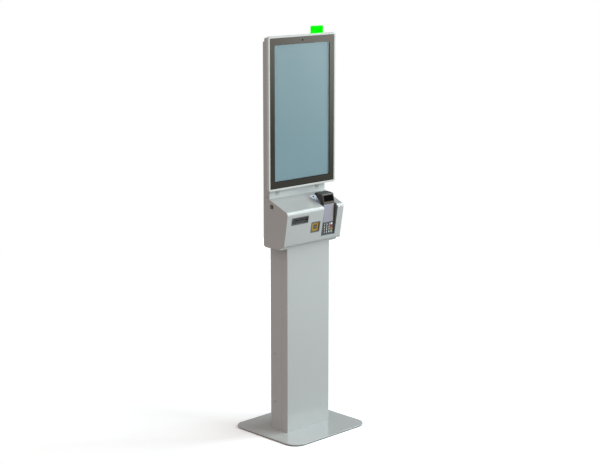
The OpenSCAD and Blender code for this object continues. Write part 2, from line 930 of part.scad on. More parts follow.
// Side outline of the channel that holds the terminal, grown by a wall
module channel_outline(wall) {
    outside = 80;
    top_up = [-top_in[0], -top_in[1]];
    far_end = channel_end + wall * top_back;
    polygon([terminal_point(-outside, body_low - 1 - wall), terminal_point(terminal_d + wall, body_low - 1 - wall),
             terminal_point(terminal_d + wall, floor_turn), far_end, far_end + outside * top_up,
             terminal_point(-outside, body_high + outside)]);
}

module hood_shell() {
    color(steel_grey)
        difference() {
            hood_block();
            hood_room();
            on_front()
                translate([-hood_inner_w / 2, -10, -20])
                    cube([hood_inner_w, 10 + sheet + eps, 20 + hood_edge_v]);
            on_front()
                translate([printer_x, -5, outlet_v])
                    facing(10)
                        square([outlet_w - 4, outlet_h - 4], center = true);
            on_front()
                translate([scanner_x, -5, scanner_v])
                    facing(10)
                        square([scanner_w - 6, scanner_h - 6], center = true);
            across(channel_w, channel_x)
                channel_outline(0);
            bar(lock_barrel_d / 2 + fitted_gap / 2, -hood_half - 5, -hood_half + 5, lock_y, lock_z);
        }
}

// Hinge

// Ranges of X for the knuckles of one leaf: even ones on the tray, odd ones on the hood
function knuckle_starts(odd) =
    [for (i = [odd:2:knuckles - 1]) -knuckles * knuckle_pitch / 2 + i * knuckle_pitch + knuckle_gap / 2];

module tray_leaf_blank() {
    strap = knuckle_pitch - knuckle_gap;
    leaf_w = knuckles * knuckle_pitch;
    translate([-leaf_w / 2, knuckle_r + 0.6, -knuckle_r])
        cube([leaf_w, leaf_reach - knuckle_r, leaf_t]);
    for (x = knuckle_starts(0)) {
        translate([x, 0, -knuckle_r])
            cube([strap, knuckle_r + 1, leaf_t]);
        bar(knuckle_r, x, x + strap, 0, 0);
    }
}

module hood_leaf_blank() {
    strap = knuckle_pitch - knuckle_gap;
    leaf_w = knuckles * knuckle_pitch;
    translate([-leaf_w / 2, -knuckle_r, knuckle_r + 0.6])
        cube([leaf_w, leaf_t, leaf_reach - knuckle_r]);
    for (x = knuckle_starts(1)) {
        translate([x, -knuckle_r, 0])
            cube([strap, leaf_t, knuckle_r + 1]);
        bar(knuckle_r, x, x + strap, 0, 0);
    }
}

module hinge_tray_leaf() {
    color(bright_steel)
        on_hinge(-return_angle)
            difference() {
                tray_leaf_blank();
                bar(pin_r + running_fit, -hood_half, hood_half, 0, 0);
            }
}

module hinge_hood_leaf() {
    color(bright_steel)
        on_hinge(front_lean)
            difference() {
                hood_leaf_blank();
                bar(pin_r + running_fit, -hood_half, hood_half, 0, 0);
            }
}

module hinge_pin() {
    color(bright_steel)
        on_hinge(0)
            bar(pin_r, -pin_len / 2, pin_len / 2, 0, 0);
}

// Lock

module lock_barrel() {
    head_t = 2.5;
    color(bright_steel)
        difference() {
            union() {
                bar(lock_head_d / 2, -hood_half - head_t, -hood_half, lock_y, lock_z);
                bar(lock_barrel_d / 2, -hood_half - head_t, lock_inner_x, lock_y, lock_z);
            }
            bar(lock_plug_d / 2 + running_fit, -hood_half - 10, lock_inner_x + 10, lock_y, lock_z);
        }
}

module lock_plug() {
    key_slot = 7;
    color(bright_steel)
        difference() {
            bar(lock_plug_d / 2, -hood_half - 3, lock_inner_x + 0.5, lock_y, lock_z);
            translate([-hood_half - 4, lock_y - 0.6, lock_z - key_slot / 2])
                cube([9, 1.2, key_slot]);
        }
}

module lock_cam() {
    cam_x = lock_inner_x + 0.5 + cam_t / 2;
    color(bright_steel)
        across(cam_t, cam_x)
            translate([lock_y, lock_z]) {
                circle(d = lock_plug_d + 2, $fn = round_fn);
                translate([0, -cam_w / 2])
                    square([cam_reach - cam_w / 2, cam_w]);
                translate([cam_reach - cam_w / 2, 0])
                    circle(d = cam_w, $fn = round_fn);
            }
}

// Printer behind the outlet

spindle_r = core_r - running_fit;

// Side outline of the printer's two plates
module printer_plate() {
    plate_top_z = platen_z + gear_r - 1;
    polygon([[column_front_y + 18, tray_top], [roll_y + roll_r - 3, tray_top], [roll_y + roll_r - 3, roll_z + 22],
             [platen_y + 26, plate_top_z], [printer_front_y, plate_top_z], [printer_front_y, motor_z + 4],
             [printer_front_y + 8, motor_z - motor_r - 4], [column_front_y + 18, roll_z - 20]]);
}

module printer_frame() {
    color(bright_steel)
        difference() {
            union() {
                for (side = [-1, 1])
                    across(plate_t, printer_x + side * (printer_half + plate_t / 2))
                        printer_plate();
                translate([printer_x - printer_half, column_front_y + 18, tray_top])
                    cube([2 * printer_half, roll_y + roll_r - 21 - column_front_y, plate_t]);
                bar(spindle_r, printer_x - printer_half - eps, printer_x + printer_half + eps, roll_y, roll_z);
            }
            bar(shaft_r + running_fit, printer_x - printer_half - 10, printer_x + printer_half + 10, platen_y, platen_z);
            bar(pinion_r + 2, printer_x + printer_half - 1, printer_x + printer_half + 10, platen_y, motor_z);
            for (side = [-1, 1])
                translate([printer_x + side * (printer_half + plate_t / 2), cutter_y + cutter_t / 2,
                           paper_line_z - 3 - cutter_h / 2 + cutter_travel / 2])
                    cube([plate_t + 1, cutter_t + 2 * moving_gap, cutter_h + cutter_travel + 2 * moving_gap],
                         center = true);
        }
}

module printer_motor() {
    color(plastic_dark)
        difference() {
            bar(motor_r, printer_x + printer_half - motor_len, printer_x + printer_half, platen_y, motor_z);
            bar(2 + running_fit, printer_x + printer_half - motor_len + 6, printer_x + printer_half + 10,
                platen_y, motor_z);
        }
}

module motor_pinion() {
    color(bright_steel) {
        bar(2, printer_x + printer_half - motor_len + 7, gear_x + gear_t, platen_y, motor_z);
        across(gear_t, gear_x + gear_t / 2)
            translate([platen_y, motor_z])
                polygon(gear_points(pinion_teeth));
    }
}

module platen_roller() {
    color(plastic_dark) {
        bar(platen_r, printer_x - paper_w / 2, printer_x + paper_w / 2, platen_y, platen_z);
        bar(shaft_r, printer_x - printer_half - plate_t - 1, gear_x + gear_t, platen_y, platen_z);
    }
}

module platen_gear() {
    color([0.85, 0.84, 0.78])
        difference() {
            across(gear_t, gear_x + gear_t / 2)
                translate([platen_y, platen_z])
                    polygon(gear_points(gear_teeth));
            bar(shaft_r + 0.02, gear_x - 1, gear_x + gear_t + 1, platen_y, platen_z);
            for (turn = [0:60:300])
                bar(3.2, gear_x - 1, gear_x + gear_t + 1,
                    platen_y + gear_r * 0.58 * cos(turn), platen_z + gear_r * 0.58 * sin(turn));
        }
}

module thermal_head() {
    head_d = 22;
    head_t = 4;
    head_w_all = 2 * printer_half;
    color([0.30, 0.42, 0.36])
        translate([printer_x, platen_y - head_d / 2, paper_line_z + 0.3])
            difference() {
                translate([-head_w_all / 2, 0, 0])
                    cube([head_w_all, head_d, head_t + 6]);
                for (y = [3:4:head_d - 4])
                    translate([-head_w_all / 2 - 1, y, head_t])
                        cube([head_w_all + 2, 2, 10]);
            }
}

module cutter_blade() {
    blade_w = 2 * printer_half + 2 * plate_t - 1;
    color(bright_steel)
        translate([printer_x, cutter_y, paper_line_z - 3 - cutter_h])
            facing(cutter_t)
                polygon([[-blade_w / 2, 0], [blade_w / 2, 0], [blade_w / 2, cutter_h], [0, cutter_h - 3],
                         [-blade_w / 2, cutter_h]]);
}

module paper_roll() {
    color([0.93, 0.93, 0.91])
        difference() {
            bar(roll_r, printer_x - paper_w / 2, printer_x + paper_w / 2, roll_y, roll_z);
            bar(core_r, printer_x - paper_w, printer_x + paper_w, roll_y, roll_z);
        }
}

module printer_bezel() {
    rim = 2;
    ribs = [-2, -1, 1, 2];
    rib_pitch = 6;
    rib_t = 2;
    rib_setback = 1.5;
    slot_h = 8;
    color(plastic_dark)
        on_front()
            translate([printer_x, 0, outlet_v]) {
                difference() {
                    union() {
                        translate([0, -rim / 2, 0])
                            facing(rim / 2)
                                rounded_rect(outlet_w, outlet_h, 2);
                        facing(outlet_d)
                            square([outlet_w - 4 - 2 * fitted_gap, outlet_h - 4 - 2 * fitted_gap], center = true);
                    }
                    translate([0, -rim, 0])
                        facing(outlet_d)
                            square([outlet_w - 4 * rim, outlet_h - 4 * rim], center = true);
                    facing(outlet_d + 1)
                        square([paper_w + 4, slot_h], center = true);
                }
                for (k = ribs)
                    translate([0, rib_setback, k * rib_pitch])
                        facing(outlet_d - rim - rib_setback)
                            square([outlet_w - 4 * rim + eps, rib_t], center = true);
            }
}

// Scanner

module scanner_housing() {
    face_proud = 1;
    color(plastic_dark)
        on_front()
            translate([scanner_x, 0, scanner_v])
                difference() {
                    union() {
                        translate([0, -face_proud, 0])
                            facing(face_proud)
                                rounded_rect(scanner_w, scanner_h, 2);
                        facing(scanner_d)
                            square([scanner_w, scanner_h] - [6 + 2 * fitted_gap, 6 + 2 * fitted_gap], center = true);
                    }
                    translate([0, -face_proud - 1, 0])
                        facing(face_proud + 1 + ring_recess + 2)
                            square([ring_w, ring_h] + [fitted_gap, fitted_gap], center = true);
                }
}

module scanner_ring() {
    color([0.75, 0.60, 0.18])
        on_front()
            translate([scanner_x, ring_recess, scanner_v])
                facing(2)
                    difference() {
                        square([ring_w, ring_h], center = true);
                        square(window_size, center = true);
                    }
}

module scanner_window() {
    color([0.20, 0.22, 0.26])
        on_front()
            translate([scanner_x, ring_recess + 0.5, scanner_v]) {
                facing(1.5)
                    square(window_size - fitted_gap, center = true);
                translate([0, -0.5, 0])
                    facing(0.5)
                        circle(d = 12, $fn = round_fn);
            }
}

// Payment terminal

module terminal_cradle() {
    floor_low = terminal_point(terminal_d, floor_turn);
    along = (channel_end - floor_low) / norm(channel_end - floor_low);
    hole_at = channel_end - cable_hole_d * along;
    color([0.62, 0.66, 0.72])
        difference() {
            intersection() {
                across(channel_w + 2 * sheet, channel_x)
                    channel_outline(sheet);
                hood_room();
            }
            across(channel_w, channel_x)
                channel_outline(0);
            translate([channel_left + cable_hole_inset, hole_at[0], hole_at[1]])
                rotate([atan2(along[1], along[0]), 0, 0])
                    cylinder(d = cable_hole_d, h = 8 * sheet, center = true, $fn = small_fn);
        }
}

// Place of each key on the terminal's face, in its own frame
function key_place(key) = [(key[1] - 1.5) * key_pitch_x, 0, keypad_mid + (1.5 - key[2]) * key_pitch_z];

module terminal_body() {
    corner = 6;
    inner_w = terminal_w - 2 * terminal_wall;
    mid = (body_low + body_high) / 2;
    color(plastic_dark)
        on_terminal()
            difference() {
                translate([0, 0, mid])
                    facing(terminal_d)
                        rounded_rect(terminal_w, terminal_h, corner);
                translate([0, terminal_wall, mid])
                    facing(terminal_d)
                        square([inner_w, terminal_h - 2 * terminal_wall], center = true);
                translate([0, -1, display_mid])
                    facing(1 + display_t)
                        square([display_w, display_h] + [fitted_gap, fitted_gap], center = true);
                for (key = KEYS)
                    translate(key_place(key) + [0, -1, 0])
                        facing(terminal_wall + 2)
                            rounded_rect(key_w + 2 * moving_gap, key_h + 2 * moving_gap, 2);
            }
}

module terminal_display() {
    color([0.62, 0.60, 0.68])
        on_terminal()
            translate([0, 0, display_mid])
                facing(display_t)
                    square([display_w, display_h], center = true);
}

head_face_low = [0, 4];
head_face_high = [11, 39];
head_window_w = 61;
head_window_h = 28;
head_window_t = 1.5;
head_window_margin = 3;
head_window_mid = norm(head_face_high - head_face_low) - head_window_margin - head_window_h / 2;
head_corner_r = 6;

// The head's slanted face as a frame, with its origin at the face's lower edge
module on_head_face() {
    run = head_face_high - head_face_low;
    on_terminal()
        translate([0, head_face_low[0], body_high + head_face_low[1]])
            rotate([-atan2(run[0], run[1]), 0, 0])
                children();
}

module terminal_head() {
    rear_top = [56, 44];
    rear_low = [58, 38];
    underside = [17, 0];
    color(plastic_dark)
        difference() {
            on_terminal()
                translate([0, 0, body_high])
                    intersection() {
                        across(head_rear_w)
                            polygon([[0, 0], head_face_low, head_face_high, head_face_high + [2.5, 3], rear_top,
                                     rear_low, underside]);
                        translate([0, -1, 0])
                            facing(rear_low[0] + 2)
                                rounded_rect(head_rear_w, 2 * rear_top[1], head_corner_r);
                        linear_extrude(rear_top[1] + 1)
                            polygon([[-head_w / 2, 0], [head_w / 2, 0], [head_rear_w / 2, rear_low[0]],
                                     [-head_rear_w / 2, rear_low[0]]]);
                    }
            on_head_face()
                translate([0, -1, head_window_mid])
                    facing(1 + head_window_t)
                        square([head_window_w, head_window_h] + [fitted_gap, fitted_gap], center = true);
        }
}

module terminal_window() {
    color([0.03, 0.03, 0.03])
        on_head_face()
            translate([0, 0, head_window_mid])
                facing(head_window_t)
                    square([head_window_w, head_window_h], center = true);
}

module key_mat() {
    mat_h = 4 * key_pitch_z + 4;
    color([0.35, 0.36, 0.38])
        on_terminal()
            translate([0, key_back + key_travel + mat_gap, keypad_mid])
                facing(mat_t)
                    square([terminal_w - 2 * terminal_wall, mat_h], center = true);
}

module keypad_key(key) {
    color(key[3])
        on_terminal()
            translate(key_place(key)) {
                translate([0, -key_proud, 0])
                    facing(key_proud + key_back)
                        rounded_rect(key_w, key_h, 1.8);
                translate([0, key_back - key_flange_t, 0])
                    facing(key_flange_t)
                        rounded_rect(key_w + 2 * key_flange, key_h + 2 * key_flange, 2.5);
            }
}

base_plate();
base_underlay();
column_frame();
column_front_cover();
column_rear_cover();
power_supply();
power_inlet();
tray();
spine_body();
spine_back_cover();
pan_screws();
computer_module();
monitor_housing();
monitor_frame();
cover_glass();
lcd_panel();
camera_module();
lower_brackets();
light_lens();
hinge_tray_leaf();
hinge_pin();
printer_frame();
thermal_head();
printer_motor();
motor_pinion();
platen_roller();
platen_gear();
paper_roll();
cutter_blade();
hood_shell();
hinge_hood_leaf();
printer_bezel();
scanner_housing();
scanner_ring();
scanner_window();
terminal_cradle();
terminal_body();
terminal_head();
terminal_window();
terminal_display();
key_mat();
lock_barrel();
lock_plug();
lock_cam();
for (key = KEYS)
    keypad_key(key);
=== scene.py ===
# %% [markdown]
# # A self-ordering kiosk
# The kiosk stands on a flat steel plate. A folded column carries a flat spine, the spine carries a tall touch screen,
# and a hinged hood below the screen holds the receipt printer, the code scanner and the payment terminal.
# The frame brings every solid of the part in at its real size, so this lesson only dresses it.

import json
import math

import bpy
from mathutils import Matrix, Vector


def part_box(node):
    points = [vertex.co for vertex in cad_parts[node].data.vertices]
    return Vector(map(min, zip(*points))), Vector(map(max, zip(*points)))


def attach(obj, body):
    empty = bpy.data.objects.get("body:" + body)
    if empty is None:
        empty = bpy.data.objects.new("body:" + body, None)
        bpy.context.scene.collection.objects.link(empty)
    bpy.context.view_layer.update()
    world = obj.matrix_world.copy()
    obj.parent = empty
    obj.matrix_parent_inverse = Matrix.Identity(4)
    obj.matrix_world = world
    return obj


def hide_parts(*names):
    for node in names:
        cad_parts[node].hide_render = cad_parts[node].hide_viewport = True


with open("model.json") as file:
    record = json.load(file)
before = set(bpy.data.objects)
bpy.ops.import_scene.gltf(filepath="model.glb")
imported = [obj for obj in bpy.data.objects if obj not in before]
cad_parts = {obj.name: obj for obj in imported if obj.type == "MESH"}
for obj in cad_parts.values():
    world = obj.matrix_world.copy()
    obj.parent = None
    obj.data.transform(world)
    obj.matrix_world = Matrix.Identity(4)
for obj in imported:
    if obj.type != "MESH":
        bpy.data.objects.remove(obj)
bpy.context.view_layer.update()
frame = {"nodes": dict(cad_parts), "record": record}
NODES = frame["nodes"]
BODY_OF = {node: body for body, members in frame["record"]["behaviour"]["bodies"].items() for node in members}
scene = bpy.context.scene
scene.view_settings.view_transform = "Standard"

# %% [markdown]
# ## The camera
# The photograph was taken from the kiosk's front left, a little above its middle, with a long lens.
# The camera's place came from fitting the corners of the screen, column and plate to the picture.

# %% Place the camera
CAMERA_DOWN, CAMERA_TURN = 11.76, -44.44
camera_data = bpy.data.cameras.new("camera")
camera_data.sensor_width = 36
camera_data.lens = 88.23
camera = bpy.data.objects.new("camera", camera_data)
camera.location = (-4.55687, -4.6446, 2.27067)
camera.rotation_euler = (math.radians(90 - CAMERA_DOWN), 0, math.radians(CAMERA_TURN))
scene.collection.objects.link(camera)
scene.camera = camera
print("camera distance", round(camera.location.length, 2), "m")

# %% [markdown]
# ## Joining nodes
# Light, floor and finishes are all built from shader nodes. By hand they would be dragged on to a canvas and wired.
# Here small helpers do that: each adds one node, takes a number or another node's socket for every input, and hands
# back the socket that comes out.


# %% Helpers that add a node
def feed(tree, source, socket):
    if hasattr(source, "links"):
        tree.links.new(source, socket)
    else:
        socket.default_value = source


def maths(tree, operation, a, b=0):
    made = tree.nodes.new("ShaderNodeMath")
    made.operation = operation
    feed(tree, a, made.inputs[0])
    feed(tree, b, made.inputs[1])
    return made.outputs[0]


def ramp(tree, value, low, high, out_low, out_high, curve="LINEAR"):
    made = tree.nodes.new("ShaderNodeMapRange")
    made.interpolation_type = curve
    labels = ("Value", "From Min", "From Max", "To Min", "To Max")
    for label, number in zip(labels, (value, low, high, out_low, out_high)):
        feed(tree, number, made.inputs[label])
    return made.outputs["Result"]


# %% [markdown]
# ## Light
# A product photograph on white uses wide soft lamps and a bright surround. The front lamp stands to the front right, so
# the fronts are bright and the left sides fall into soft shade. The side lamp is smaller, and it throws the column's
# soft shadow over the floor to the left. The surround's own light grows from the horizon to the top and from the right
# to the left, which rounds off the upper faces. Rays that the camera or glass send out see plain white. Gloss sees a
# grey surround that darkens behind the kiosk, with one bright patch for the lamp's cloth, which the screen mirrors in
# its upper right corner.

# %% Open the surround
PATCH_PLACE = Vector((0.775, -0.63, 0.035))
world = bpy.data.worlds.new("surround")
scene.world = world
world.use_nodes = True
world.cycles.sampling_method = "NONE"
sky = world.node_tree
sky.nodes.clear()
direction = sky.nodes.new("ShaderNodeTexCoord").outputs["Generated"]
along = sky.nodes.new("ShaderNodeSeparateXYZ")
sky.links.new(direction, along.inputs["Vector"])
toward = sky.nodes.new("ShaderNodeVectorMath")
toward.operation = "DOT_PRODUCT"
toward.inputs[1].default_value = PATCH_PLACE.normalized()
sky.links.new(direction, toward.inputs[0])
print("surround opened,", len(sky.nodes), "nodes so far")


# %% Shade the surround
def glow(colour, strength):
    made = sky.nodes.new("ShaderNodeBackground")
    feed(sky, colour, made.inputs["Color"])
    feed(sky, strength, made.inputs["Strength"])
    return made.outputs[0]


def either(factor, first, second):
    made = sky.nodes.new("ShaderNodeMixShader")
    for source, socket in zip((factor, first, second), made.inputs):
        sky.links.new(source, socket)
    return made.outputs[0]


PATCH_EDGE, PATCH_CORE = math.cos(math.radians(13)), math.cos(math.radians(3))
overhead = ramp(sky, along.outputs["Z"], 0.0, 1.0, 0.48, 0.8)
sideways = ramp(sky, along.outputs["X"], -1.0, 0.6, 1.35, 0.4)
patch = ramp(sky, toward.outputs["Value"], PATCH_EDGE, PATCH_CORE, 0.9, 6.0, "SMOOTHSTEP")
behind = ramp(sky, along.outputs["Y"], -0.1, 0.6, 1.0, 0.3, "SMOOTHSTEP")
soft_light = glow((1, 0.88, 0.84, 1), maths(sky, "MULTIPLY", overhead, sideways))
mirrored = glow((0.8, 0.8, 0.8, 1), maths(sky, "MULTIPLY", patch, behind))
white = glow((1, 1, 1, 1), 1.0)
rays = sky.nodes.new("ShaderNodeLightPath").outputs
seen = maths(sky, "MAXIMUM", rays["Is Camera Ray"], rays["Is Transmission Ray"])
surround = either(seen, either(rays["Is Glossy Ray"], soft_light, mirrored), white)
sky.links.new(surround, sky.nodes.new("ShaderNodeOutputWorld").inputs["Surface"])
print("surround nodes", len(sky.nodes))

# %% Hang the lamps
LAMPS = {"front_lamp": (470, (5.0, 4.4), (4.4, -7.3, 3.9), (0.86, 1.0, 1.03)),
         "side_lamp": (235, (3.0, 3.0), (4.75, -1.96, 4.4), (0.86, 1.0, 1.03))}
LAMP_AIM = Vector((0, 0, 1.0))
for label, (power, cloth, place, tint) in LAMPS.items():
    lamp_data = bpy.data.lights.new(label, "AREA")
    lamp_data.shape = "RECTANGLE"
    lamp_data.size, lamp_data.size_y = cloth
    lamp_data.energy = power
    lamp_data.color = tint
    lamp = bpy.data.objects.new(label, lamp_data)
    lamp.location = place
    lamp.rotation_euler = (LAMP_AIM - lamp.location).to_track_quat("-Z", "Y").to_euler()
    scene.collection.objects.link(lamp)
    print(label, power, "W")

# %% [markdown]
# ## The floor
# The floor is a pale disc. For light that bounces it is a quiet grey. For rays from the camera, from gloss or through
# glass its colour is lifted, so that the lit floor runs out to plain white and the kiosk's soft shadow stays. The paint
# grows paler towards the rim, where the lamps reach less, so that no horizon shows.


# %% Helpers for working by hand
def put_down():
    if bpy.context.object and bpy.context.object.mode != "OBJECT":
        bpy.ops.object.mode_set(mode="OBJECT")
    bpy.ops.object.select_all(action="DESELECT")


def take_up(piece):
    put_down()
    piece.select_set(True)
    bpy.context.view_layer.objects.active = piece


# %% Lay the floor
FLOOR_RADIUS, FLOOR_RIM = 4.2, 0.6
put_down()
bpy.ops.mesh.primitive_circle_add(vertices=96, radius=FLOOR_RADIUS, fill_type="NGON", location=(0, 0, 0))
floor = bpy.context.object
floor.name = "floor"
bpy.ops.object.mode_set(mode="EDIT")
bpy.ops.mesh.inset(thickness=FLOOR_RIM)
bpy.ops.object.mode_set(mode="OBJECT")
print("floor", len(floor.data.polygons), "faces")

# %% Helpers for colours and places
# A Mix node has sockets for every kind of value. These are the places of its colour sockets.
MIX_FACTOR, MIX_A, MIX_B, MIX_RESULT = 0, 6, 7, 2


def mixed(tree, factor, a, b, blend="MIX"):
    made = tree.nodes.new("ShaderNodeMix")
    made.data_type = "RGBA"
    made.blend_type = blend
    for index, number in ((MIX_FACTOR, factor), (MIX_A, a), (MIX_B, b)):
        feed(tree, number, made.inputs[index])
    return made.outputs[MIX_RESULT]


def on_object(tree):
    return tree.nodes.new("ShaderNodeTexCoord").outputs["Object"]


# %% Paint the floor
SHADOW_REACH, RIM_GAIN, GLOSS_SHARE = 0.7, 1.3, 0.66
floor_paint = bpy.data.materials.new("floor_paint")
floor_paint.use_nodes = True
tree = floor_paint.node_tree
tree.nodes.clear()
rays = tree.nodes.new("ShaderNodeLightPath").outputs
seen = maths(tree, "MAXIMUM", rays["Is Camera Ray"], rays["Is Transmission Ray"])
lifted = maths(tree, "MAXIMUM", seen, maths(tree, "MULTIPLY", rays["Is Glossy Ray"], GLOSS_SHARE))
tone = mixed(tree, lifted, (0.25, 0.23, 0.22, 1), (1.24, 1.28, 1.3, 1))
reach = tree.nodes.new("ShaderNodeVectorMath")
reach.operation = "LENGTH"
tree.links.new(on_object(tree), reach.inputs[0])
gain = ramp(tree, reach.outputs["Value"], SHADOW_REACH, FLOOR_RADIUS, 1.0, RIM_GAIN)
paled = tree.nodes.new("ShaderNodeVectorMath")
paled.operation = "SCALE"
tree.links.new(tone, paled.inputs[0])
tree.links.new(gain, paled.inputs["Scale"])
matt = tree.nodes.new("ShaderNodeBsdfDiffuse")
tree.links.new(paled.outputs[0], matt.inputs["Color"])
tree.links.new(matt.outputs[0], tree.nodes.new("ShaderNodeOutputMaterial").inputs["Surface"])
floor.data.materials.append(floor_paint)
print("floor paint", len(tree.nodes), "nodes")

# %% [markdown]
# ## Shared surface effects
# Four effects come back on many pieces, so each is a node group with named inputs: the fine orange peel of powder
# paint, the long scratches of brushed metal, the grain of moulded plastic, and the faint smears on glossy panels.
# A group only puts out colours, values and heights. The shader itself stays in the material.

# %% Helpers that start a group
COLOUR, NUMBER = "NodeSocketColor", "NodeSocketFloat"
SURFACE = [("Colour", COLOUR), ("Roughness", NUMBER), ("Height", NUMBER)]


def start_group(name, inputs, outputs):
    group = bpy.data.node_groups.new(name, "ShaderNodeTree")
    for label, kind, value in inputs:
        socket = group.interface.new_socket(name=label, in_out="INPUT", socket_type=kind)
        socket.default_value = value
    for label, kind in outputs:
        group.interface.new_socket(name=label, in_out="OUTPUT", socket_type=kind)
    return group, group.nodes.new("NodeGroupInput").outputs, group.nodes.new("NodeGroupOutput").inputs


def noise(tree, vector, scale, detail, roughness=0.5):
    made = tree.nodes.new("ShaderNodeTexNoise")
    for label, number in (("Vector", vector), ("Scale", scale), ("Detail", detail), ("Roughness", roughness)):
        feed(tree, number, made.inputs[label])
    return made.outputs["Fac"]


# %% [markdown]
# ### Powder paint
# The kiosk's sheet metal is powder coated: the powder melts into a skin with a fine dimple, a few flecks and a slow
# drift in tone. The dimple could be real geometry, but it is a few hundredths of a millimetre deep, so it is a height
# for a Bump node.

# %% Powder paint
DRIFT_GAIN = 10
powder, into, out = start_group(
    "powder_paint",
    [("Paint", COLOUR, (0.5, 0.5, 0.5, 1)), ("Peel Scale", NUMBER, 620), ("Roughness", NUMBER, 0.28),
     ("Drift", NUMBER, 0.06)],
    SURFACE,
)
where = on_object(powder)
peel = noise(powder, where, into["Peel Scale"], detail=3.0, roughness=0.55)
specks = noise(powder, where, scale=2600, detail=1.0)
cloud = noise(powder, where, scale=2.4, detail=0.0)
darker = mixed(powder, 1.0, into["Paint"], (0.9, 0.89, 0.88, 1), "MULTIPLY")
drift = maths(powder, "MULTIPLY", cloud, maths(powder, "MULTIPLY", into["Drift"], DRIFT_GAIN))
drifted = mixed(powder, drift, into["Paint"], darker)
flecked = mixed(powder, ramp(powder, specks, 0.66, 0.72, 0, 0.25), drifted, darker)
powder.links.new(flecked, out["Colour"])
uneven = ramp(powder, cloud, 0.0, 1.0, -0.05, 0.05)
powder.links.new(maths(powder, "ADD", into["Roughness"], uneven), out["Roughness"])
powder.links.new(peel, out["Height"])
print("powder_paint", len(powder.nodes), "nodes")

# %% [markdown]
# ### Brushed metal
# Shafts, plates and lock parts keep the fine lines of the tool that finished them. A noise that is stretched fifty
# times along one axis gives such lines, and a slower noise adds the stains of handling.

# %% Brushed metal
brushed, into, out = start_group(
    "brushed_metal",
    [("Metal", COLOUR, (0.5, 0.5, 0.5, 1)), ("Roughness", NUMBER, 0.3), ("Scratch Scale", NUMBER, 900)],
    SURFACE,
)
where = on_object(brushed)
stretch = brushed.nodes.new("ShaderNodeMapping")
stretch.inputs["Scale"].default_value = (0.02, 1, 1)
brushed.links.new(where, stretch.inputs["Vector"])
scratch = noise(brushed, stretch.outputs["Vector"], into["Scratch Scale"], detail=4.0, roughness=0.6)
stain = noise(brushed, where, scale=22, detail=3.0)
toned = mixed(brushed, ramp(brushed, scratch, 0.35, 0.65, 0, 0.35), into["Metal"], (0.22, 0.22, 0.225, 1))
stained = mixed(brushed, ramp(brushed, stain, 0.5, 0.75, 0, 0.3), toned, (0.2, 0.19, 0.18, 1))
brushed.links.new(stained, out["Colour"])
worn = ramp(brushed, scratch, 0.3, 0.7, -0.08, 0.1)
brushed.links.new(maths(brushed, "ADD", into["Roughness"], worn), out["Roughness"])
brushed.links.new(scratch, out["Height"])
print("brushed_metal", len(brushed.nodes), "nodes")

# %% [markdown]
# ### Moulded plastic
# The mould of a plastic housing is etched with a fine grain, which hides finger marks. Voronoi cells look like that
# grain. A slow noise makes some places a little paler and changes their gloss, as hands do.

# %% Moulded plastic
moulded, into, out = start_group(
    "moulded_plastic",
    [("Plastic", COLOUR, (0.1, 0.1, 0.1, 1)), ("Roughness", NUMBER, 0.45), ("Grain Scale", NUMBER, 1500)],
    SURFACE,
)
where = on_object(moulded)
pebble = moulded.nodes.new("ShaderNodeTexVoronoi")
moulded.links.new(where, pebble.inputs["Vector"])
moulded.links.new(into["Grain Scale"], pebble.inputs["Scale"])
handled = noise(moulded, where, scale=38, detail=3.0)
paler = mixed(moulded, 1.0, into["Plastic"], (0.03, 0.03, 0.03, 1), "ADD")
touched = mixed(moulded, ramp(moulded, handled, 0.45, 0.75, 0, 0.4), into["Plastic"], paler)
moulded.links.new(touched, out["Colour"])
rubbed = ramp(moulded, handled, 0.3, 0.7, -0.06, 0.08)
moulded.links.new(maths(moulded, "ADD", into["Roughness"], rubbed), out["Roughness"])
moulded.links.new(pebble.outputs["Distance"], out["Height"])
print("moulded_plastic", len(moulded.nodes), "nodes")

# %% [markdown]
# ### Smears on gloss
# A glossy panel that people touch is never evenly smooth. Long wipes and small dabs are multiplied, and where both are
# strong the gloss turns a little duller. Nothing stands up from the glass, so there is no height.

# %% Smears on gloss
smears, into, out = start_group(
    "gloss_smears",
    [("Roughness", NUMBER, 0.05), ("Smear", NUMBER, 0.05)],
    [("Roughness", NUMBER)],
)
where = on_object(smears)
wiped = smears.nodes.new("ShaderNodeMapping")
wiped.inputs["Scale"].default_value = (1, 1, 0.3)
wiped.inputs["Rotation"].default_value = (0, math.radians(28), 0)
smears.links.new(where, wiped.inputs["Vector"])
wipe = noise(smears, wiped.outputs["Vector"], scale=17, detail=5.0, roughness=0.6)
dabs = noise(smears, where, scale=62, detail=2.0)
both = maths(smears, "MULTIPLY", ramp(smears, wipe, 0.42, 0.72, 0, 1), ramp(smears, dabs, 0.4, 0.65, 0.3, 1))
dulled = maths(smears, "MULTIPLY", both, into["Smear"])
smears.links.new(maths(smears, "ADD", into["Roughness"], dulled), out["Roughness"])
print("gloss_smears", len(smears.nodes), "nodes")

# %% [markdown]
# ## Finishes
# Each finish is one Principled shader. What varies over the surface comes from a group, and what is the same
# everywhere is set on the shader's own sockets.

# %% A helper that mixes a finish
FINISH = {}


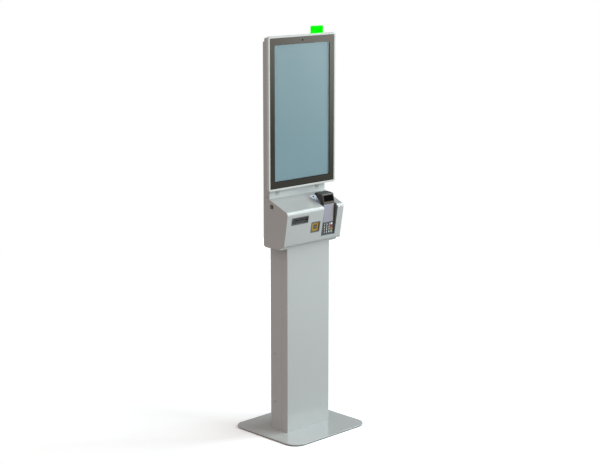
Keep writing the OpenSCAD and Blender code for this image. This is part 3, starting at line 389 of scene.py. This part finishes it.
def finish(name, group, values, bump=0.1, bump_mm=0.1, **sockets):
    paint = bpy.data.materials.new("kiosk_" + name)
    paint.use_nodes = True
    tree = paint.node_tree
    shader = tree.nodes["Principled BSDF"]
    effect = tree.nodes.new("ShaderNodeGroup")
    effect.node_tree = group
    for label, value in values.items():
        effect.inputs[label].default_value = value
    for label in ("Colour", "Roughness"):
        if label in effect.outputs:
            tree.links.new(effect.outputs[label], shader.inputs["Base Color" if label == "Colour" else label])
    if "Height" in effect.outputs:
        relief = tree.nodes.new("ShaderNodeBump")
        relief.inputs["Strength"].default_value = bump
        relief.inputs["Distance"].default_value = bump_mm / 1000
        tree.links.new(effect.outputs["Height"], relief.inputs["Height"])
        tree.links.new(relief.outputs["Normal"], shader.inputs["Normal"])
    for label, value in sockets.items():
        shader.inputs[label.replace("_", " ")].default_value = value
    FINISH[name] = paint
    return tree, shader, effect


# %% [markdown]
# ### Paints
# Most of the sheet metal has one pale grey powder coat, and the monitor's frame a whiter one. The spine's front and
# the plate's top have tones of their own, which bring them near the photograph. The spine's front is painted paler than
# the common paint, which is painted light for the light that the monitor above and the hood below keep off it. The
# plate's top is glossy enough to mirror the column, and its tone is a little paler and bluer, which is partly painted
# light. The terminal's cradle is pale blue, and its wall in the terminal's shadow has a darker tone, which is painted
# shade.

# %% Paints
finish("painted_steel", powder, {"Paint": (0.49, 0.51, 0.505, 1), "Roughness": 0.2}, bump=0.12, bump_mm=0.08)
finish("frame_white", powder, {"Paint": (0.6, 0.615, 0.6, 1), "Roughness": 0.3, "Peel Scale": 800},
       bump=0.1, bump_mm=0.06)
# Painted light: a paler copy of the common paint for the spine's front, for light the monitor and hood keep off it.
finish("spine_front_painted_light", powder, {"Paint": (0.62, 0.655, 0.65, 1), "Roughness": 0.2}, bump=0.12, bump_mm=0.08)
finish("cradle_blue", powder, {"Paint": (0.45, 0.55, 0.74, 1), "Roughness": 0.3}, bump=0.1, bump_mm=0.06)
# Painted shade: a dark copy of the cradle's paint for its wall in the terminal's shadow.
finish("cradle_painted_shade", powder, {"Paint": (0.2, 0.22, 0.23, 1), "Roughness": 0.35}, bump=0.1, bump_mm=0.06)
# Partly painted light: the plate's top is a little paler and bluer than the common paint; its gloss is real.
finish("plate_gloss_and_painted_light", powder, {"Paint": (0.5, 0.53, 0.53, 1), "Roughness": 0.04}, bump=0.03, bump_mm=0.03,
       Specular_IOR_Level=0.9)
print("paints", list(FINISH))

# %% [markdown]
# ### Metals
# Bare steel and plated metal are for shafts, plates and screws, cast aluminium for the frames inside, and the lock has
# a dark barrel with a brass plug. All of them are fully metallic except the black aluminium, whose coat hides the
# metal.

# %% Metals
finish("bare_steel", brushed, {"Metal": (0.56, 0.57, 0.59, 1), "Roughness": 0.3}, bump=0.08, bump_mm=0.05, Metallic=1)
finish("cast_aluminium", moulded, {"Plastic": (0.5, 0.505, 0.52, 1), "Roughness": 0.45, "Grain Scale": 900},
       bump=0.2, bump_mm=0.1, Metallic=1)
finish("black_aluminium", moulded, {"Plastic": (0.025, 0.026, 0.028, 1), "Roughness": 0.38, "Grain Scale": 2200},
       bump=0.1, bump_mm=0.05, Metallic=0.3)
FINE_METALS = {
    "plated_metal": ((0.4, 0.38, 0.35, 1), 0.2),
    "lock_dark": ((0.1, 0.095, 0.09, 1), 0.24),
    "lock_brass": ((0.34, 0.2, 0.1, 1), 0.3),
}
for label, (colour, gloss) in FINE_METALS.items():
    finish(label, brushed, {"Metal": colour, "Roughness": gloss, "Scratch Scale": 1800}, bump=0.05, bump_mm=0.03,
           Metallic=1)
print("paints and metals", len(FINISH))

# %% [markdown]
# ### Plastics and rubber
# Housings, gears and keys differ only in colour, gloss and the size of their grain, so a table and a loop make them.
# The front of the terminal's head takes a warm brown with hardly any mirror.

# %% Plastics and rubber
PLASTICS = {
    "black_rubber": ((0.014, 0.014, 0.015, 1), 0.72, 1100),
    "black_plastic": ((0.095, 0.096, 0.094, 1), 0.5, 1700),
    "terminal_grey": ((0.04, 0.04, 0.04, 1), 0.42, 1900),
    "gear_ivory": ((0.66, 0.62, 0.5, 1), 0.42, 1300),
    "key_dark": ((0.024, 0.025, 0.027, 1), 0.48, 2400),
    "key_white": ((0.86, 0.87, 0.88, 1), 0.45, 2400),
    "key_red": ((0.5, 0.03, 0.025, 1), 0.45, 2400),
    "key_yellow": ((0.62, 0.4, 0.03, 1), 0.45, 2400),
    "key_green": ((0.04, 0.19, 0.07, 1), 0.45, 2400),
    "scan_yellow": ((0.4, 0.24, 0.012, 1), 0.55, 1900),
}
for label, (colour, gloss, grain) in PLASTICS.items():
    finish(label, moulded, {"Plastic": colour, "Roughness": gloss, "Grain Scale": grain}, bump=0.12, bump_mm=0.06)
finish("terminal_brown", moulded, {"Plastic": (0.1, 0.075, 0.06, 1), "Roughness": 0.5, "Grain Scale": 1900}, bump=0.12,
       bump_mm=0.06, Specular_IOR_Level=0.1)
print("plastics", len(PLASTICS) + 1)

# %% [markdown]
# ### Wound paper
# The ends of a receipt roll show its many turns as fine rings. They could be cut as grooves, but a ring pattern about
# the roll's own axis is enough, and it turns with the roll.

# %% Wound paper
tree, shader, effect = finish(
    "paper", moulded, {"Plastic": (0.8, 0.79, 0.76, 1), "Roughness": 0.75, "Grain Scale": 3000}, bump=0.08,
    bump_mm=0.04)
roll_low, roll_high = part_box("paper_roll")
centre = (roll_low + roll_high) / 2
spot = tree.nodes.new("ShaderNodeMapping")
spot.inputs["Scale"].default_value = (0, 1, 1)
spot.inputs["Location"].default_value = (0, -centre.y, -centre.z)
tree.links.new(on_object(tree), spot.inputs["Vector"])
turns = tree.nodes.new("ShaderNodeTexWave")
turns.wave_type = "RINGS"
turns.rings_direction = "SPHERICAL"
turns.inputs["Scale"].default_value = 260
turns.inputs["Distortion"].default_value = 0.6
tree.links.new(spot.outputs["Vector"], turns.inputs["Vector"])
edges = ramp(tree, turns.outputs["Fac"], 0.35, 0.9, 0, 0.35)
tree.links.new(mixed(tree, edges, effect.outputs["Colour"], (0.5, 0.49, 0.47, 1)), shader.inputs["Base Color"])
print("paper turns about", round(centre.y, 4), round(centre.z, 4))

# %% [markdown]
# ## Glass and screens
# The front glass has a dark print round its edge and a clear window. Both are one sheet, so the print is a mask on the
# sheet's own coordinates: opaque outside the window, nearly clear inside it, with a small clear dot for the camera.
# The picture's area is a second mask on the panel behind it.


# %% A helper that masks a window
def window_mask(tree, centre, half, edge):
    split = tree.nodes.new("ShaderNodeSeparateXYZ")
    tree.links.new(on_object(tree), split.inputs["Vector"])
    parts = []
    for axis, middle, reach in (("X", centre[0], half[0]), ("Z", centre[1], half[1])):
        off = maths(tree, "ABSOLUTE", maths(tree, "SUBTRACT", split.outputs[axis], middle))
        parts.append(ramp(tree, off, reach - edge, reach + edge, 1, 0))
    return maths(tree, "MINIMUM", parts[0], parts[1]), split.outputs


# %% The front glass
PICTURE_MIDDLE = (0.0, 1.4655)
PICTURE_HALF = (0.16815, 0.29895)
PRINT_GAP, CLEAR_ALPHA = 0.0015, 0.06
DOT_HEIGHT, DOT_INNER, DOT_OUTER = 1.78075, 0.0038, 0.0042
tree, shader, _ = finish("cover_glass", smears, {"Roughness": 0.035, "Smear": 0.05}, IOR=1.5,
                         Base_Color=(0.012, 0.011, 0.008, 1), Specular_Tint=(1, 0.97, 0.84, 1))
clear, place = window_mask(tree, PICTURE_MIDDLE, [half + PRINT_GAP for half in PICTURE_HALF], edge=0.0003)
across = maths(tree, "POWER", maths(tree, "ABSOLUTE", place["X"]), 2)
upward = maths(tree, "POWER", maths(tree, "ABSOLUTE", maths(tree, "SUBTRACT", place["Z"], DOT_HEIGHT)), 2)
dot = ramp(tree, maths(tree, "SQRT", maths(tree, "ADD", across, upward)), DOT_INNER, DOT_OUTER, 1, 0)
open_glass = maths(tree, "MAXIMUM", clear, dot)
tree.links.new(ramp(tree, open_glass, 0, 1, 1.0, CLEAR_ALPHA), shader.inputs["Alpha"])
print("picture window", [round(2000 * half, 1) for half in PICTURE_HALF], "mm")

# %% [markdown]
# ### The display panel
# The panel shows an even pale blue, a little lighter at the top. A lit screen sends out light of its own, so part of
# the colour is emission and the rest answers the lamps. A very fine noise stands for the picture's cells.

# %% The display panel
FADE_LOW, FADE_HIGH = 1.16, 1.78
tree, shader, _ = finish("display", smears, {"Roughness": 0.06, "Smear": 0.04}, IOR=1.5, Emission_Strength=1.0)
lit, place = window_mask(tree, PICTURE_MIDDLE, PICTURE_HALF, edge=0.0004)
fade = ramp(tree, place["Z"], FADE_LOW, FADE_HIGH, 0, 1)
cells = noise(tree, on_object(tree), scale=5200, detail=1.0)
field = mixed(tree, fade, (0.2, 0.32, 0.36, 1), (0.215, 0.33, 0.36, 1))
grid = mixed(tree, ramp(tree, cells, 0.3, 0.7, 0, 0.06), field, (0.1, 0.16, 0.18, 1))
tree.links.new(mixed(tree, lit, (0.01, 0.01, 0.012, 1), grid), shader.inputs["Base Color"])
tree.links.new(mixed(tree, lit, (0, 0, 0, 1), (0.092, 0.143, 0.16, 1)), shader.inputs["Emission Color"])
print("display finish ready")

# %% [markdown]
# ### The terminal's windows and the scanner's eye
# The reader's window is a black that mirrors nothing. The terminal's display is a pale panel with a strip at its right
# side, and the scanner's eye a dark pane with a bluish square. All three are flat, so masks on the pieces' own
# coordinates draw them, and no shape is needed.


# %% The terminal's windows and the scanner's eye
def seen_from_front(node):
    low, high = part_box(node)
    return ((low.x + high.x) / 2, (low.z + high.z) / 2), high.x


SHOWN_HALF, EYE_HALF = (0.0314, 0.0412), (0.0035, 0.0035)
STRIP_INNER, STRIP_OUTER = 0.0115, 0.01
finish("terminal_black", smears, {"Roughness": 0.08, "Smear": 0.12}, Base_Color=(0.006, 0.006, 0.006, 1),
       Specular_IOR_Level=0.0)
tree, shader, _ = finish("terminal_screen", smears, {"Roughness": 0.09, "Smear": 0.1}, IOR=1.5)
middle, right_edge = seen_from_front("terminal_display")
shown, place = window_mask(tree, middle, SHOWN_HALF, edge=0.0004)
side_strip = ramp(tree, place["X"], right_edge - STRIP_INNER, right_edge - STRIP_OUTER, 0, 1)
picture = mixed(tree, side_strip, (0.31, 0.3, 0.365, 1), (0.33, 0.305, 0.285, 1))
tree.links.new(mixed(tree, shown, (0.12, 0.115, 0.115, 1), picture), shader.inputs["Base Color"])
tree, shader, _ = finish("scan_window", smears, {"Roughness": 0.05, "Smear": 0.1}, IOR=1.5)
middle, _ = seen_from_front("scanner_window")
iris, _ = window_mask(tree, middle, EYE_HALF, edge=0.0005)
tree.links.new(mixed(tree, iris, (0.02, 0.017, 0.01, 1), (0.12, 0.17, 0.24, 1)), shader.inputs["Base Color"])
print("windows ready")

# %% [markdown]
# ### The status light
# The light on the monitor's top is a block of green plastic with lamps inside. It glows nearly evenly, so it has an
# emission of its own, with soft clouds where the plastic spreads the light.

# %% The status light
tree, shader, _ = finish(
    "light_green", moulded, {"Plastic": (0.0, 0.3, 0.0, 1), "Roughness": 0.3, "Grain Scale": 600}, bump=0.1,
    bump_mm=0.05, Emission_Strength=1.0, Specular_IOR_Level=0.0)
clouds = ramp(tree, noise(tree, on_object(tree), scale=60, detail=1.0), 0.3, 0.7, 0, 0.2)
tree.links.new(mixed(tree, clouds, (0.0, 1.0, 0.0, 1), (0.0, 0.85, 0.0, 1)), shader.inputs["Emission Color"])
print("finishes", len(FINISH))

# %% [markdown]
# ## Dress the solids
# Every solid of the frame knows its finish by the name of its material slot, so one loop dresses them all.

# %% Give each solid its finish
for solid in NODES.values():
    for holder in solid.material_slots:
        holder.material = FINISH[holder.material.name.split(".")[0]]
print("dressed", len(NODES))

# %% [markdown]
# ## Softer edges
# Folded sheet, cast plates and moulded plastic never have knife edges, and it is the thin bright line along an edge
# that tells the eye it is metal or plastic. A copy of the solid is merged, its flat faces are joined, and its sharp
# edges are bevelled. The copy then stands for the solid.


# %% A helper that bevels sharp edges
def bevel_sharp(piece, width_mm, segments, sharp, only=None):
    bpy.ops.mesh.select_all(action="DESELECT")
    bpy.ops.mesh.edges_select_sharp(sharpness=math.radians(sharp))
    if only:
        bpy.ops.object.mode_set(mode="OBJECT")
        points = [vertex.co for vertex in piece.data.vertices]
        for edge in piece.data.edges:
            edge.select = edge.select and only(points[edge.vertices[0]], points[edge.vertices[1]])
        bpy.ops.object.mode_set(mode="EDIT")
    bpy.ops.mesh.bevel(offset=width_mm / 1000, segments=segments, clamp_overlap=True)


# %% Helpers that soften a solid
MERGE_REACH, RIM_REACH = 0.000002, 0.0001
FLAT_ANGLE, SHARP_ANGLE, RIM_ANGLE, SMOOTH_ANGLE = 0.6, 35, 60, 32


def softened(node, width_mm, segments=2, only=None, under_mm=0):
    piece = bpy.data.objects.new(node + "_soft", NODES[node].data.copy())
    scene.collection.objects.link(piece)
    take_up(piece)
    bpy.ops.mesh.customdata_custom_splitnormals_clear()
    bpy.ops.object.mode_set(mode="EDIT")
    bpy.ops.mesh.select_mode(type="EDGE")
    bpy.ops.mesh.select_all(action="SELECT")
    bpy.ops.mesh.remove_doubles(threshold=MERGE_REACH)
    bpy.ops.mesh.dissolve_limited(angle_limit=math.radians(FLAT_ANGLE))
    bevel_sharp(piece, width_mm, segments, SHARP_ANGLE, only)
    if under_mm:
        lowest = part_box(node)[0].z + RIM_REACH
        bevel_sharp(piece, under_mm, 1, RIM_ANGLE, lambda a, b: max(a.z, b.z) < lowest)
    bpy.ops.object.mode_set(mode="OBJECT")
    bpy.ops.object.shade_smooth_by_angle(angle=math.radians(SMOOTH_ANGLE))
    even = piece.modifiers.new("even", "WEIGHTED_NORMAL")
    even.keep_sharp = True
    bpy.ops.object.modifier_apply(modifier="even")
    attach(piece, BODY_OF[node])
    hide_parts(node)
    return piece


def soften_all(widths, segments=2):
    made = {node: softened(node, width, segments) for node, width in widths.items()}
    print("softened", {node: len(piece.data.polygons) for node, piece in made.items()})
    return made


# %% Helpers that repaint a piece
def refinish(piece, name):
    piece.data.materials[0] = FINISH[name]


def second_finish(piece, name, chosen):
    piece.data.materials.append(FINISH[name])
    for face in piece.data.polygons:
        if chosen(face):
            face.material_index = len(piece.data.materials) - 1


# %% [markdown]
# ### Plate, column and spine
# The plate is cut from thick steel: its upper rim is rounded, and its lower rim is cut back, which leaves the dark line
# along the floor. Column, spine and tray are thin sheet, whose edges are only broken. The plate's top and the spine's
# front are painted again, and their other faces keep the common paint. The spine's front paint is paler, which is
# painted light, and the plate's top is glossier and a little paler, which is partly painted light.

# %% Plate, column and spine
UPPER_RIM, FACING = 0.005, 0.6
plate = softened("base_plate", 1.0, segments=3, only=lambda a, b: min(a.z, b.z) > UPPER_RIM, under_mm=3)
# The plate's top takes the paler, glossier paint, partly painted light; its rims keep the common paint.
refinish(plate, "plate_gloss_and_painted_light")
second_finish(plate, "painted_steel", lambda face: face.normal.z < FACING)
sheets = soften_all({"column_front_cover": 0.15, "column_rear_cover": 0.15, "spine_body": 0.45, "tray": 0.45})
# Painted light on the spine's front; its sides keep the common paint.
refinish(sheets["spine_body"], "spine_front_painted_light")
second_finish(sheets["spine_body"], "painted_steel", lambda face: face.normal.y > -FACING)
print("plate", len(plate.data.polygons), "faces")

# %% [markdown]
# ### Screen
# The monitor's frame is a moulding with a soft rim, the glass has a ground edge, and the light's block is rounder than
# both. The camera behind the glass is black and dull, so that the clear dot in the print reads as a lens. The two
# brackets below the monitor get the common paint.

# %% Screen
screen = soften_all({"monitor_frame": 0.9, "monitor_housing": 0.6, "cover_glass": 0.35, "lower_brackets": 0.4})
refinish(screen["lower_brackets"], "painted_steel")
light = softened("light_lens", 1.6, segments=3)
refinish(softened("camera_module", 0.2), "terminal_black")
print("light", len(light.data.polygons), "faces")

# %% [markdown]
# ### Screws
# All the screws are one node, so they are told apart by where they sit: those of the brackets are painted over, and
# those in the column's sides are plated.

# %% Screws
BRACKET_LOW, BRACKET_HIGH, BRACKET_BACK, COLUMN_SIDE = 1.0, 1.2, 0.03, 0.134
screws = softened("pan_screws", 0.15)
second_finish(screws, "painted_steel",
              lambda face: BRACKET_LOW < face.center.z < BRACKET_HIGH and face.center.y < BRACKET_BACK)
second_finish(screws, "plated_metal", lambda face: abs(face.center.x) > COLUMN_SIDE)
print("screws", len(screws.data.polygons), "faces")

# %% [markdown]
# ### Hood
# The hood is folded from one sheet. Its bends are in the solid already, so only the rims of its two sides are
# bevelled. The cradle's right wall lies in the terminal's shade and gets a darker tone, which is painted shade, the
# hinge is painted with the hood, and the lock gets its two metals.

# %% Hood
HOOD_SIDE, RIGHT_WALL, WALL_FACING = 0.1755, 0.1, 0.9
hood = softened("hood_shell", 1.1, segments=3, only=lambda a, b: min(abs(a.x), abs(b.x)) > HOOD_SIDE)
fittings = soften_all({"lock_barrel": 0.5, "lock_plug": 0.25, "printer_bezel": 0.4, "scanner_housing": 0.8,
                       "scanner_ring": 0.4, "terminal_cradle": 0.3})
# Painted shade on the cradle's right wall, which lies in the terminal's shadow.
second_finish(fittings["terminal_cradle"], "cradle_painted_shade",
              lambda face: face.normal.x < -WALL_FACING and face.center.x > RIGHT_WALL)
for leaf in soften_all({"hinge_tray_leaf": 0.2, "hinge_hood_leaf": 0.2}).values():
    refinish(leaf, "painted_steel")
refinish(fittings["lock_barrel"], "lock_dark")
refinish(fittings["lock_plug"], "lock_brass")
print("hood", len(hood.data.polygons), "faces")

# %% [markdown]
# ### Payment terminal
# The terminal is a moulded block with round edges, and its keys are small caps with soft ones. The face round the
# reader's window is found by the window's own normal and painted brown.

# %% Payment terminal
SAME_WAY = 0.99
terminal = soften_all({"terminal_body": 1.2, "terminal_head": 1.6, "terminal_window": 0.3, "terminal_display": 0.3},
                      segments=3)
bezel = max(NODES["terminal_window"].data.polygons, key=lambda face: -face.normal.y * face.area).normal
second_finish(terminal["terminal_head"], "terminal_brown", lambda face: face.normal.dot(bezel) > SAME_WAY)
keys = soften_all({node: 0.55 for node in NODES if node.startswith("key_") and node != "key_mat"})
print("keys", len(keys))

# %% [markdown]
# ## Marks on the keys
# The keys carry plain digits, printed in white, and simple signs. The white key is bare. Each sign starts as a text
# object, becomes a mesh while it still lies flat, and is then turned to the key's leaning face. A star is small in
# the font, so it is set larger, and it isn't thickened, because that would tear its outline.

# %% A helper that sets a sign
INK_HALF = 0.00006
SIGN_SIZE, SIGN_WEIGHT = 0.0108, 0.00032
STAR_SIZE, STAR_WEIGHT = 0.017, 0.0


def set_sign(name, sign):
    put_down()
    bpy.ops.object.text_add(location=(0, 0, 0))
    mark = bpy.context.object
    mark.name = name
    mark.data.body = sign
    mark.data.align_x = "CENTER"
    mark.data.align_y = "CENTER"
    mark.data.size = STAR_SIZE if sign == "*" else SIGN_SIZE
    mark.data.offset = STAR_WEIGHT if sign == "*" else SIGN_WEIGHT
    mark.data.extrude = INK_HALF
    mark.data.resolution_u = 3
    bpy.ops.object.convert(target="MESH")
    spread = [vertex.co.copy() for vertex in mark.data.vertices]
    shift = Vector([(min(c[i] for c in spread) + max(c[i] for c in spread)) / 2 for i in range(3)])
    mark.data.transform(Matrix.Translation(-shift))
    return mark


# %% Print the signs
SIGNS = {"key_star": "*", "key_hash": "#", "key_cancel": "X", "key_clear": "<", "key_enter": "O"}
SIGNS.update({"key_" + digit: digit for digit in "0123456789"})
KEY_LEAN, INK_LIFT = math.radians(4.5), 0.00002
outward = Vector((0, -math.cos(KEY_LEAN), -math.sin(KEY_LEAN)))
for node, sign in SIGNS.items():
    top = max(vertex.co.dot(outward) for vertex in NODES[node].data.vertices)
    low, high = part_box(node)
    middle = (low + high) / 2
    middle += outward * (top - middle.dot(outward) + INK_LIFT)
    mark = set_sign(node.replace("key_", "sign_"), sign)
    mark.data.transform(Matrix.Translation(middle) @ Matrix.Rotation(math.radians(90) + KEY_LEAN, 4, "X"))
    tint = "key_dark" if node in ("key_cancel", "key_clear") else "key_white"
    mark.data.materials.append(FINISH[tint])
    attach(mark, BODY_OF[node])
print("signs", len(SIGNS))

# %% [markdown]
# ## Close

# %% Finish
put_down()
